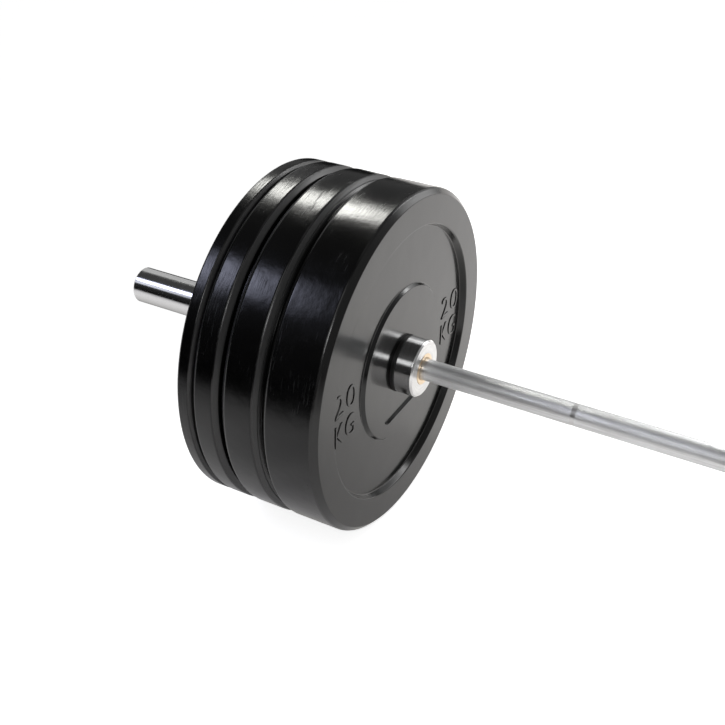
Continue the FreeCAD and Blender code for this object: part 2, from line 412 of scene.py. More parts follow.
@dataclass(frozen=True)
class KnurlFinish:
    """Satin chrome on the knurled grip; its grooves are rougher, and darker partly from oxide and partly from
    painted shade.
    """

    crest: float
    groove: float
    name: str = "knurled_chrome"
    level: float = 0.88
    # Level in the grooves: darker partly from oxide and partly from painted shade.
    dull_level: float = 0.75
    warmth: float = -0.015
    gloss: float = 0.42
    cloud_edge: Span = (0.4, 0.7)
    line_edge: Span = (0.35, 0.65)
    line_turn: float = 0.5
    line_along: float = 1.2
    crest_share: float = 0.3
    cloud_share: float = 0.2
    line_share: float = 0.5
    crest_shine: float = 0.06
    cloud_dull: float = 0.08
    line_shine: float = 0.06

    def material(self) -> bpy.types.Material:
        """Make the material.

        Returns:
            The finished material.
        """
        shader, material = Shader.for_material(self.name)
        place = shader.place()
        along, angle, radius = shader.around_bar()
        high = radius.ramp_mm(self.groove, self.crest)
        clouds = shader.noise(place, scale=30, detail=3)
        stretched = shader.vector(angle * self.line_turn, along * self.line_along, radius)
        lines = shader.noise(stretched, scale=11, detail=4, roughness=0.6).ramp(*self.line_edge)
        # Crests lighter than grooves: the grooves are darkened partly by oxide and partly by painted shade.
        bright = high * self.crest_share + clouds.ramp(*self.cloud_edge) * self.cloud_share
        bright = bright + lines * self.line_share
        base = shader.mix(bright, grey(self.level * self.dull_level), grey(self.level, self.warmth))
        rough = self.gloss - high * self.crest_shine + clouds * self.cloud_dull - lines * self.line_shine
        shader.principled(Base_Color=base, Metallic=1.0, Roughness=rough)
        return material


@dataclass(frozen=True)
class TurnedFinish:
    """Metal with the fine rings that a lathe tool leaves on a face."""

    name: str
    colour: Colour
    gloss: float = 0.28
    rings_per_mm: float = 2.2
    depth: float = 0.000015
    dull_level: float = 0.8
    dull_edge: Span = (0.35, 0.7)
    rough_edge: Span = (0.3, 0.7)
    broad_turn: float = 0.1
    broad_across: float = 40.0
    broad_share: float = 0.6
    ring_share: float = 0.15
    broad_dull: float = 0.10
    ring_relief: float = 0.6

    def material(self) -> bpy.types.Material:
        """Make the material.

        Returns:
            The finished material.
        """
        shader, material = Shader.for_material(self.name)
        along, angle, radius = shader.around_bar()
        path = (radius + along) * (self.rings_per_mm / MM * 2 * math.pi)
        rings = shader.node("ShaderNodeMath", {"operation": "SINE"}, {0: path}) * 0.5 + 0.5
        spread = shader.vector(angle * self.broad_turn, along * self.broad_across, radius * self.broad_across)
        broad = shader.noise(spread, scale=18, detail=2)
        darker = tuple(self.dull_level * part for part in self.colour[:3]) + (1.0,)
        dull = broad.ramp(*self.dull_edge) * self.broad_share + rings * self.ring_share
        base = shader.mix(dull, self.colour, darker)
        rough = broad.ramp(*self.rough_edge) * self.broad_dull + self.gloss
        relief = shader.bump(rings * self.ring_relief + broad, self.depth, strength=0.5)
        shader.principled(Base_Color=base, Metallic=1.0, Roughness=rough, Normal=relief)
        return material


@dataclass(frozen=True)
class CoatedFinish:
    """Satin black coating on the plates' hubs."""

    name: str = "black_coating"
    black: float = 0.003
    worn: float = 0.05
    gloss: float = 0.40
    wear_edge: Span = (0.55, 0.8)
    wear_share: float = 0.4
    wear_dull: float = 0.12

    def material(self) -> bpy.types.Material:
        """Make the material.

        Returns:
            The finished material.
        """
        shader, material = Shader.for_material(self.name)
        place = shader.place()
        peel = shader.noise(place, scale=420, detail=2)
        wear = shader.noise(place, scale=60, detail=3).ramp(*self.wear_edge)
        base = shader.mix(wear * self.wear_share, grey(self.black), grey(self.worn))
        rough = wear * self.wear_dull + self.gloss
        relief = shader.bump(peel, distance=0.00003, strength=0.3)
        shader.principled(Base_Color=base, Roughness=rough, IOR=1.5, Normal=relief)
        return material


@dataclass(frozen=True)
class PlainSteelFinish:
    """Ground or phosphated steel of the small inner pieces."""

    name: str
    level: float
    gloss: float
    dark_share: float = 0.75
    bright_share: float = 1.15
    cloud_dull: float = 0.15

    def material(self) -> bpy.types.Material:
        """Make the material.

        Returns:
            The finished material.
        """
        shader, material = Shader.for_material(self.name)
        cloud = shader.noise(shader.place(), scale=160, detail=4, roughness=0.6)
        base = shader.mix(cloud, grey(self.level * self.dark_share), grey(self.level * self.bright_share))
        rough = cloud * self.cloud_dull + self.gloss
        relief = shader.bump(cloud, distance=0.00002, strength=0.3)
        shader.principled(Base_Color=base, Metallic=1.0, Roughness=rough, Normal=relief)
        return material


# Modelling by hand


def clear_selection() -> None:
    """Leave edit mode and deselect everything."""
    if bpy.context.mode != "OBJECT":
        bpy.ops.object.mode_set(mode="OBJECT")
    bpy.ops.object.select_all(action="DESELECT")


def make_active(piece: bpy.types.Object) -> None:
    """Select one piece alone.

    Args:
        piece: The piece.
    """
    clear_selection()
    piece.select_set(True)
    bpy.context.view_layer.objects.active = piece


def settle(piece: bpy.types.Object) -> None:
    """Put a piece's place, turn and scale into its mesh."""
    make_active(piece)
    bpy.ops.object.transform_apply(location=True, rotation=True, scale=True)


def smooth(piece: bpy.types.Object) -> None:
    """Shade a piece smooth, with its flat faces kept flat.

    Args:
        piece: The piece.
    """
    make_active(piece)
    bpy.ops.object.shade_smooth_by_angle(angle=SMOOTH_ANGLE)
    flat = piece.modifiers.new("flat_faces", "WEIGHTED_NORMAL")
    flat.keep_sharp = True
    flat.weight = FLAT_FACE_WEIGHT
    bpy.ops.object.modifier_apply(modifier=flat.name)


def copy_to_other_end(piece: bpy.types.Object, name: str) -> bpy.types.Object:
    """Copy a piece to the other end of the bar, turned half round.

    Args:
        piece: Piece at the left end.
        name: Name of the copy.

    Returns:
        The copy, with a mesh of its own.
    """
    copy = piece.copy()
    copy.data = piece.data.copy()
    copy.name = name
    copy.data.name = name
    copy.data.transform(Matrix.Rotation(math.pi, 4, "Z"))
    bpy.context.scene.collection.objects.link(copy)
    return copy


@dataclass(frozen=True)
class Corner:
    """A corner of a turned outline: place along the bar, radius, and how far it is rounded back."""

    along: float
    radius: float
    rounded: float = 0.0


@dataclass(frozen=True)
class Lathe:
    """Turns outlines about the bar's axis, corner by corner."""

    segments: int
    round_steps: int

    def turn(self, name: str, outline: Sequence[Corner], hollow: bool = True) -> bpy.types.Object:
        """Turn a piece.

        Args:
            name: Name of the piece.
            outline: Corners in order.
            hollow: Whether the outline closes on itself; else both its ends are capped.

        Returns:
            The piece, with its rounded corners.
        """
        start = outline[0]
        clear_selection()
        bpy.ops.mesh.primitive_circle_add(
            vertices=self.segments,
            radius=start.radius * MM,
            fill_type="NOTHING",
            location=(start.along * MM, 0, 0),
            rotation=(0, math.pi / 2, 0),
        )
        piece = bpy.context.object
        piece.name = name
        piece.data.name = name
        settle(piece)
        bpy.ops.object.mode_set(mode="EDIT")
        bpy.ops.mesh.select_mode(type="EDGE")
        bpy.ops.mesh.select_all(action="SELECT")
        if not hollow:
            bpy.ops.mesh.edge_face_add()
        stops = [*outline[1:], start] if hollow else list(outline[1:])
        here = start
        for stop in stops:
            self._pull(here, stop, hollow)
            here = stop
        bpy.ops.mesh.select_all(action="SELECT")
        bpy.ops.mesh.remove_doubles(threshold=SNAP)
        bpy.ops.mesh.normals_make_consistent(inside=False)
        for size in sorted({corner.rounded for corner in outline if corner.rounded}):
            self._select(piece, [corner for corner in outline if corner.rounded == size])
            bpy.ops.mesh.bevel(offset=size * MM, segments=self.round_steps, profile=0.5, affect="EDGES")
        bpy.ops.object.mode_set(mode="OBJECT")
        return piece

    @staticmethod
    def _pull(here: Corner, stop: Corner, hollow: bool) -> None:
        """Extrude the selected loop or cap from one corner to the next.

        Args:
            here: Corner that the selection is at.
            stop: Corner to reach.
            hollow: Whether a loop is pulled; else a cap.
        """
        step = {"value": ((stop.along - here.along) * MM, 0, 0)}
        if hollow:
            bpy.ops.mesh.extrude_edges_move(TRANSFORM_OT_translate=step)
        else:
            bpy.ops.mesh.extrude_region_move(TRANSFORM_OT_translate=step)
        growth = stop.radius / here.radius
        bpy.ops.transform.resize(value=(1, growth, growth), center_override=(stop.along * MM, 0, 0))

    @staticmethod
    def _select(piece: bpy.types.Object, corners: Iterable[Corner]) -> None:
        """Select the loops of edges at some corners.

        Args:
            piece: The turned piece, in edit mode.
            corners: The corners.
        """
        places = [(corner.along * MM, corner.radius * MM) for corner in corners]

        def at_corner(vert: bmesh.types.BMVert) -> tuple[float, float] | None:
            """The corner that a vertex is on.

            Args:
                vert: The vertex.

            Returns:
                Place and radius of the corner, or None away from them.
            """
            radius = math.hypot(vert.co.y, vert.co.z)
            for along, wanted in places:
                if abs(vert.co.x - along) < SNAP and abs(radius - wanted) < SNAP:
                    return along, wanted
            return None

        mesh = bmesh.from_edit_mesh(piece.data)
        for part in (mesh.verts, mesh.edges, mesh.faces):
            for item in part:
                item.select = False
        found = {vert.index: at_corner(vert) for vert in mesh.verts}
        for edge in mesh.edges:
            first, second = (found[vert.index] for vert in edge.verts)
            if first is not None and first == second:
                edge.select_set(True)
        bmesh.update_edit_mesh(piece.data)


# Sub-assemblies


@dataclass
class Dressing:
    """Puts finished pieces on their bodies, with their materials."""

    frame: Mapping[str, Any]
    finishes: Mapping[str, bpy.types.Material]

    def put(
        self, piece: bpy.types.Object, body: str, finish: str, stands_for: Sequence[str] = ()
    ) -> None:
        """Dress a new piece.

        Args:
            piece: The piece.
            body: Body that it moves with.
            finish: Name of its finish; a piece that already has materials keeps them.
            stands_for: Nodes that it replaces.
        """
        if not piece.data.materials:
            piece.data.materials.append(self.finishes[finish])
        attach(piece, body)
        if stands_for:
            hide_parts(*stands_for)
        LOG.info("%s rides on %s, %d faces", piece.name, body, len(piece.data.polygons))

    def keep(self, node: str, finish: str) -> None:
        """Give a node that keeps its own shape a better finish.

        Args:
            node: Name of the node.
            finish: Name of the finish.
        """
        mesh = self.frame["nodes"][node].data
        mesh.materials.clear()
        mesh.materials.append(self.finishes[finish])
        LOG.info("%s keeps its own shape", node)


@dataclass(frozen=True)
class Lettering:
    """The raised weight mark on a plate's face."""

    line_width: float = 49.0
    unit_width: float = 45.0
    letter_height: float = 30.0
    line_gap: float = 10.5
    letter_width: float = 21.5
    rise: float = 1.1
    sunk: float = 0.4
    edge: float = 0.3
    edge_steps: int = 1
    curve_steps: int = 5
    thinning: float = 0.3
    spacing: float = 1.15
    ring_radius: float = 142.2
    lean: float = -2.5

    def build(self, mark: int) -> bpy.types.Object:
        """Model both lines of one mark, flat on XY and centred.

        Args:
            mark: Weight in kilograms.

        Returns:
            The mark as one mesh.
        """
        offset = (self.letter_height + self.line_gap) / 2
        figures = str(mark)
        figures_width = self.line_width if len(figures) > 1 else self.letter_width
        lines = [self._line(figures, figures_width, offset), self._line("KG", self.unit_width, -offset)]
        clear_selection()
        for line in lines:
            line.select_set(True)
        bpy.context.view_layer.objects.active = lines[0]
        bpy.ops.object.join()
        return lines[0]

    def _line(self, words: str, width: float, height: float) -> bpy.types.Object:
        """Model one line of letters.

        Args:
            words: The letters.
            width: Width of the line.
            height: Place of the line's middle.

        Returns:
            The line as a mesh.
        """
        clear_selection()
        bpy.ops.object.text_add()
        text = bpy.context.object
        text.data.body = words
        text.data.size = self.letter_height * MM
        text.data.space_character = self.spacing
        text.data.extrude = (self.rise + self.sunk) / 2 * MM
        text.data.bevel_depth = self.edge * MM
        text.data.offset = -(self.edge + self.thinning) * MM
        text.data.bevel_resolution = self.edge_steps
        text.data.resolution_u = self.curve_steps
        bpy.ops.object.convert(target="MESH")
        line = bpy.context.object
        spots = [vert.co for vert in line.data.vertices]
        low = Vector(min(spot[axis] for spot in spots) for axis in range(3))
        high = Vector(max(spot[axis] for spot in spots) for axis in range(3))
        growth = (
            width * MM / (high.x - low.x),
            self.letter_height * MM / (high.y - low.y),
            (self.rise + self.sunk) * MM / (high.z - low.z),
        )
        centre = (low + high) / 2
        line.data.transform(Matrix.Translation(-centre))
        line.scale = growth
        line.location = (0, height * MM, (self.rise - self.sunk) / 2 * MM)
        settle(line)
        bpy.ops.object.mode_set(mode="EDIT")
        bpy.ops.mesh.select_all(action="SELECT")
        bpy.ops.mesh.remove_doubles(threshold=SNAP / 2)
        bpy.ops.object.mode_set(mode="OBJECT")
        return line


@dataclass(frozen=True)
class LabelField:
    """The bare, round-ended field sunk in a plate's face below the hub."""

    length: float = 101.0
    height: float = 29.5
    depth: float = 3.0
    drop: float = 57.6
    draft: float = 0.3
    lip: float = 0.25
    end_points: int = 48

    def cutter(self) -> bpy.types.Object:
        """Model the block to cut out, flat on XY with the plate's face at 0.

        Returns:
            The block, which narrows to its floor and flares at the face.
        """
        clear_selection()
        bpy.ops.mesh.primitive_circle_add(
            vertices=self.end_points,
            radius=self.height / 2 * MM,
            fill_type="NGON",
            location=(0, 0, -self.depth * MM),
            rotation=(0, 0, math.pi / self.end_points),
        )
        block = bpy.context.object
        settle(block)
        bpy.ops.object.mode_set(mode="EDIT")
        self._lengthen(block)
        bpy.ops.mesh.select_all(action="SELECT")
        here, size = -self.depth, 0.0
        self._grow(here, size, -self.draft)
        size = -self.draft
        for level, wanted in ((-self.lip, 0.0), (0.0, self.lip), (self.depth, self.lip)):
            step = (0, 0, (level - here) * MM)
            bpy.ops.mesh.extrude_region_move(TRANSFORM_OT_translate={"value": step})
            self._grow(level, size, wanted)
            here, size = level, wanted
        bpy.ops.mesh.select_all(action="SELECT")
        bpy.ops.mesh.normals_make_consistent(inside=False)
        bpy.ops.object.mode_set(mode="OBJECT")
        return block

    def _lengthen(self, block: bpy.types.Object) -> None:
        """Pull the two halves of a round face apart to make it round-ended.

        Args:
            block: The face, in edit mode.
        """
        side = (self.length - self.height) / 2
        bpy.ops.mesh.select_mode(type="VERT")
        for sign in (-1, 1):
            mesh = bmesh.from_edit_mesh(block.data)
            for vert in mesh.verts:
                vert.select_set(sign * vert.co.x > 0)
            bmesh.update_edit_mesh(block.data)
            bpy.ops.transform.translate(value=(sign * side * MM, 0, 0))

    def _grow(self, level: float, size: float, wanted: float) -> None:
        """Resize the selected outline from one growth past the nominal size to another.

        Args:
            level: Height of the outline.
            size: Growth that it has.
            wanted: Growth to reach.
        """
        along = (self.length + 2 * wanted) / (self.length + 2 * size)
        across = (self.height + 2 * wanted) / (self.height + 2 * size)
        bpy.ops.transform.resize(value=(along, across, 1), center_override=(0, 0, level * MM))


@dataclass(frozen=True)
class Plate:
    """One bumper plate: moulded rubber on a coated hub."""

    mark: int
    width: float
    bevel: float
    recess: float
    boss_drop: float
    shoulder: float
    inner_face: float
    bevel_grooves: tuple[float, ...] = ()
    groove_width: float = 1.0
    groove_depth: float = 0.5
    radius: float = 225.0
    bevel_lean: float = 1.15
    recess_radius: float = 180.5
    boss_radius: float = 101.0
    recess_lean: float = 0.42
    boss_lean: float = 0.76
    hub_radius: float = 37.5
    hub_proud: float = 0.5
    hub_gap: float = 0.02
    hub_round: float = 0.8
    bore_radius: float = 25.6
    seat_gap: float = 0.02
    seat_round: float = 0.5
    rim_round: float = 0.8
    recess_round: float = 1.4
    foot_round: float = 1.2
    boss_round: float = 0.6
    label: LabelField = LabelField()
    lathe: Lathe = Lathe(segments=224, round_steps=3)
    hub_lathe: Lathe = Lathe(segments=96, round_steps=3)

    @property
    def centre(self) -> float:
        """Reach of the plate's middle."""
        return self.inner_face + self.hub_proud + self.width / 2

    def build(self, dressing: Dressing, lettering: Lettering) -> None:
        """Model the plate at both ends and put it on its bodies.

        Args:
            dressing: Puts the pieces on their bodies.
            lettering: Models the raised mark.
        """
        rubber = self._rubber(lettering)
        hub = self._hub()
        for piece, slot, part in ((rubber, "plate_rubber", "rubber"), (hub, "hub_black", "hub")):
            other = copy_to_other_end(piece, End.RIGHT.node(f"plate_{self.mark}_{part}_moulded"))
            for end, made in ((End.LEFT, piece), (End.RIGHT, other)):
                body = end.node(f"plate_{self.mark}")
                dressing.put(made, body, slot, [f"{body}_{part}"])

    def _mirrored(self, face: Sequence[Corner]) -> list[Corner]:
        """Close an outline over one face by its mirror over the other, in place at the left end."""
        far = [Corner(-corner.along, corner.radius, corner.rounded) for corner in reversed(face)]
        return [Corner(corner.along - self.centre, corner.radius, corner.rounded) for corner in [*face, *far]]

    def _rubber(self, lettering: Lettering) -> bpy.types.Object:
        """Model the moulded rubber with its marks.

        Args:
            lettering: Models the raised mark.

        Returns:
            The rubber at the left end.
        """
        rim = self.width / 2
        web = rim - self.recess
        boss = rim - self.boss_drop
        boss_foot = self.boss_radius + self.boss_lean * (boss - web)
        recess_foot = self.recess_radius - self.recess_lean * self.recess
        outline = self._mirrored([
            Corner(rim - self.bevel, self.radius, self.shoulder),
            *self._grooves(rim),
            Corner(rim, self.radius - self.bevel_lean * self.bevel, self.rim_round),
            Corner(rim, self.recess_radius, self.recess_round),
            Corner(web, recess_foot, self.foot_round),
            Corner(web, boss_foot, self.foot_round),
            Corner(boss, self.boss_radius, self.boss_round),
            Corner(boss, self.hub_radius + self.seat_gap, self.seat_round),
        ])
        piece = self.lathe.turn(End.LEFT.node(f"plate_{self.mark}_rubber_moulded"), outline)
        self._sink_labels(piece, boss)
        marks = self._marks(lettering, web)
        clear_selection()
        for mark in marks:
            mark.select_set(True)
        piece.select_set(True)
        bpy.context.view_layer.objects.active = piece
        bpy.ops.object.join()
        smooth(piece)
        return piece

    def _grooves(self, rim: float) -> list[Corner]:
        """Outline of the fine grooves round the bevel.

        Args:
            rim: Distance of the rim's face from the plate's middle.

        Returns:
            Three corners for each groove: its two lips and its bottom between them.
        """
        slant = math.hypot(1, self.bevel_lean)
        half = self.groove_width / 2 / slant
        sink = self.groove_depth / slant
        corners = []
        for share in self.bevel_grooves:
            along = rim - (1 - share) * self.bevel
            radius = self.radius - share * self.bevel_lean * self.bevel
            corners += [
                Corner(along - half, radius + half * self.bevel_lean),
                Corner(along - sink * self.bevel_lean, radius - sink),
                Corner(along + half, radius - half * self.bevel_lean),
            ]
        return corners

    def _sink_labels(self, piece: bpy.types.Object, boss: float) -> None:
        """Cut the label field out of both faces of the rubber.

        Args:
            piece: The rubber, at its place on the bar.
            boss: Distance of the boss's face from the plate's middle.
        """
        spot = Matrix.Translation((boss * MM, 0, -self.label.drop * MM))
        for face_turn in FACE_TURNS:
            cutter = self.label.cutter()
            cutter.data.transform(self._to_place() @ face_turn @ spot @ UPRIGHT)
            cut = piece.modifiers.new("label", "BOOLEAN")
            cut.operation = "DIFFERENCE"
            cut.solver = "EXACT"
            cut.object = cutter
            make_active(piece)
            bpy.ops.object.modifier_apply(modifier=cut.name)
            bpy.data.objects.remove(cutter)

    def _to_place(self) -> Matrix:
        """Move from the bar's middle to the plate's middle at the left end."""
        return Matrix.Translation((-self.centre * MM, 0, 0))

    def _marks(self, lettering: Lettering, web: float) -> list[bpy.types.Object]:
        """Set four copies of the mark on the plate, two on each face.

        Args:
            lettering: Models the mark.
            web: Distance of the sunk ring from the plate's middle.

        Returns:
            The four marks.
        """
        first = lettering.build(self.mark)
        lean = Matrix.Rotation(math.radians(lettering.lean), 4, "X")
        marks = []
        for face_turn in FACE_TURNS:
            for side in (-1, 1):
                mark = first.copy()
                mark.data = first.data.copy()
                spot = Matrix.Translation((web * MM, side * lettering.ring_radius * MM, 0))
                mark.data.transform(self._to_place() @ face_turn @ lean @ spot @ UPRIGHT)
                bpy.context.scene.collection.objects.link(mark)
                marks.append(mark)
        bpy.data.objects.remove(first)
        return marks

    def _hub(self) -> bpy.types.Object:
        """Model the hub ring.

        Returns:
            The hub at the left end.
        """
        face = self.width / 2 + self.hub_proud - self.hub_gap / 2
        edges = [Corner(face, radius, self.hub_round) for radius in (self.hub_radius, self.bore_radius)]
        outline = self._mirrored(edges)
        piece = self.hub_lathe.turn(End.LEFT.node(f"plate_{self.mark}_hub_moulded"), outline)
        smooth(piece)
        return piece


@dataclass(frozen=True)
class SleeveEnd:
    """The turning end of the bar: sleeve, collar, bushings and end cap."""

    collar_face: float = 655.0
    collar_back: float = 680.0
    sleeve_end: float = 1100.0
    sleeve_radius: float = 24.95
    sleeve_chamfer: float = 1.0
    collar_seat: float = 22.95
    collar_lip: float = 5.0
    collar_radius: float = 37.5
    collar_chamfer: float = 2.0
    collar_back_chamfer: float = 1.0
    bushing_radius: float = 18.0
    bushing_bore: float = 14.05
    bushing_end: float = 725.0
    flange_radius: float = 20.5
    flange_proud: float = 0.6
    flange_thickness: float = 2.5
    mouth_chamfer: float = 2.0
    cap_radius: float = 20.0
    cap_face: float = 1096.0
    cap_edge: float = 3.0
    cap_crown: float = 1.2
    crown_radius: float = 13.5
    groove_radius: float = 21.22
    groove_width: float = 1.5
    seat_gap: float = 0.02
    edge_round: float = 0.3
    lip_round: float = 0.2
    mouth_round: float = 0.25
    crown_round: float = 0.4
    face_normal: float = 0.9
    lathe: Lathe = Lathe(segments=128, round_steps=3)

    def build(self, dressing: Dressing) -> None:
        """Model the pieces at both ends and put them on their bodies.

        Args:
            dressing: Puts the pieces on their bodies.
        """
        makers: dict[str, tuple[Callable[[], list[Corner]], bool, str]] = {
            "sleeve": (self._sleeve, True, "sleeve_chrome"),
            "collar": (self._collar, True, "collar_chrome"),
            "inner_bushing": (self._bushing, True, "bushing_bronze"),
            "end_cap": (self._cap, False, "cap_steel"),
        }
        for part, (outline, hollow, slot) in makers.items():
            left = self.lathe.turn(End.LEFT.node(f"{part}_turned"), self._at_left(outline()), hollow)
            smooth(left)
            if part == "collar":
                self._dress_collar(left, dressing)
            right = copy_to_other_end(left, End.RIGHT.node(f"{part}_turned"))
            for end, made in ((End.LEFT, left), (End.RIGHT, right)):
                dressing.put(made, end.node("sleeve_assembly"), slot, [end.node(part)])
        for end in End:
            dressing.keep(end.node("outer_bushing"), "bushing_bronze")
            dressing.keep(end.node("end_cap_circlip"), "spring_steel")
            dressing.keep(end.node("shaft_circlips"), "spring_steel")
            dressing.keep(end.node("thrust_washers"), "washer_steel")

    @staticmethod
    def _at_left(outline: Iterable[Corner]) -> list[Corner]:
        """An outline given by reach, placed at the left end."""
        return [Corner(-corner.along, corner.radius, corner.rounded) for corner in outline]

    def _dress_collar(self, collar: bpy.types.Object, dressing: Dressing) -> None:
        """Give the collar's faces a turned finish and its round wall chrome.

        Args:
            collar: The collar, still bare.
            dressing: Holds the finishes.
        """
        collar.data.materials.append(dressing.finishes["collar_chrome"])
        collar.data.materials.append(dressing.finishes["collar_face"])
        for polygon in collar.data.polygons:
            polygon.material_index = int(abs(polygon.normal.x) > self.face_normal)

    def _sleeve(self) -> list[Corner]:
        """Outline of the sleeve.

        Returns:
            Corners by reach, from the inner end over the outside and back through the bore.
        """
        seat = self.bushing_radius + self.seat_gap
        cap_seat = self.cap_radius + self.seat_gap
        groove_end = self.cap_face + self.groove_width
        return [
            Corner(self.collar_face + self.collar_lip, seat),
            Corner(self.collar_face + self.collar_lip, self.collar_seat),
            Corner(self.collar_back, self.collar_seat),
            Corner(self.collar_back, self.sleeve_radius),
            Corner(self.sleeve_end - self.sleeve_chamfer, self.sleeve_radius, self.edge_round),
            Corner(self.sleeve_end, self.sleeve_radius - self.sleeve_chamfer, self.edge_round),
            Corner(self.sleeve_end, cap_seat, self.edge_round),
            Corner(groove_end, cap_seat),
            Corner(groove_end, self.groove_radius),
            Corner(self.cap_face, self.groove_radius),
            Corner(self.cap_face, cap_seat),
            Corner(self.cap_face - self.cap_edge, cap_seat),
            Corner(self.cap_face - self.cap_edge, seat),
        ]

    def _collar(self) -> list[Corner]:
        """Outline of the collar.

        Returns:
            Corners by reach, from the face over the outside and back through the bore.
        """
        face, back = self.collar_face, self.collar_back
        flange_seat = self.flange_radius + self.seat_gap
        flange_back = face - self.flange_proud + self.flange_thickness
        sleeve_seat = self.collar_seat + self.seat_gap
        seat = self.bushing_radius + self.seat_gap
        return [
            Corner(face, flange_seat, self.lip_round),
            Corner(face, self.collar_radius - self.collar_chamfer, self.edge_round),
            Corner(face + self.collar_chamfer, self.collar_radius, self.edge_round),
            Corner(back - self.collar_back_chamfer, self.collar_radius, self.edge_round),
            Corner(back, self.collar_radius - self.collar_back_chamfer, self.edge_round),
            Corner(back, sleeve_seat),
            Corner(face + self.collar_lip, sleeve_seat),
            Corner(face + self.collar_lip, seat),
            Corner(flange_back, seat),
            Corner(flange_back, flange_seat),
        ]

    def _bushing(self) -> list[Corner]:
        """Outline of the flanged bushing.

        Returns:
            Corners by reach, from the face over the flange and back through the bore.
        """
        face = self.collar_face - self.flange_proud
        return [
            Corner(face, self.bushing_bore + self.mouth_chamfer, self.mouth_round),
            Corner(face, self.flange_radius, self.edge_round),
            Corner(face + self.flange_thickness, self.flange_radius),
            Corner(face + self.flange_thickness, self.bushing_radius),
            Corner(self.bushing_end, self.bushing_radius),
            Corner(self.bushing_end, self.bushing_bore),
            Corner(face + self.mouth_chamfer, self.bushing_bore, self.mouth_round),
        ]

    def _cap(self) -> list[Corner]:
        """Outline of the end cap, from its back to its raised middle.

        Returns:
            Corners by reach.
        """
        top = self.cap_face + self.cap_crown
        return [
            Corner(self.cap_face - self.cap_edge, self.cap_radius),
            Corner(self.cap_face, self.cap_radius, self.lip_round),
            Corner(self.cap_face, self.crown_radius, self.edge_round),
            Corner(top, self.crown_radius - self.cap_crown, self.crown_round),
        ]


@dataclass(frozen=True)
class Knurl:
    """A stretch of diamond knurling, from one reach to another."""

    name: str
    start: float
    end: float


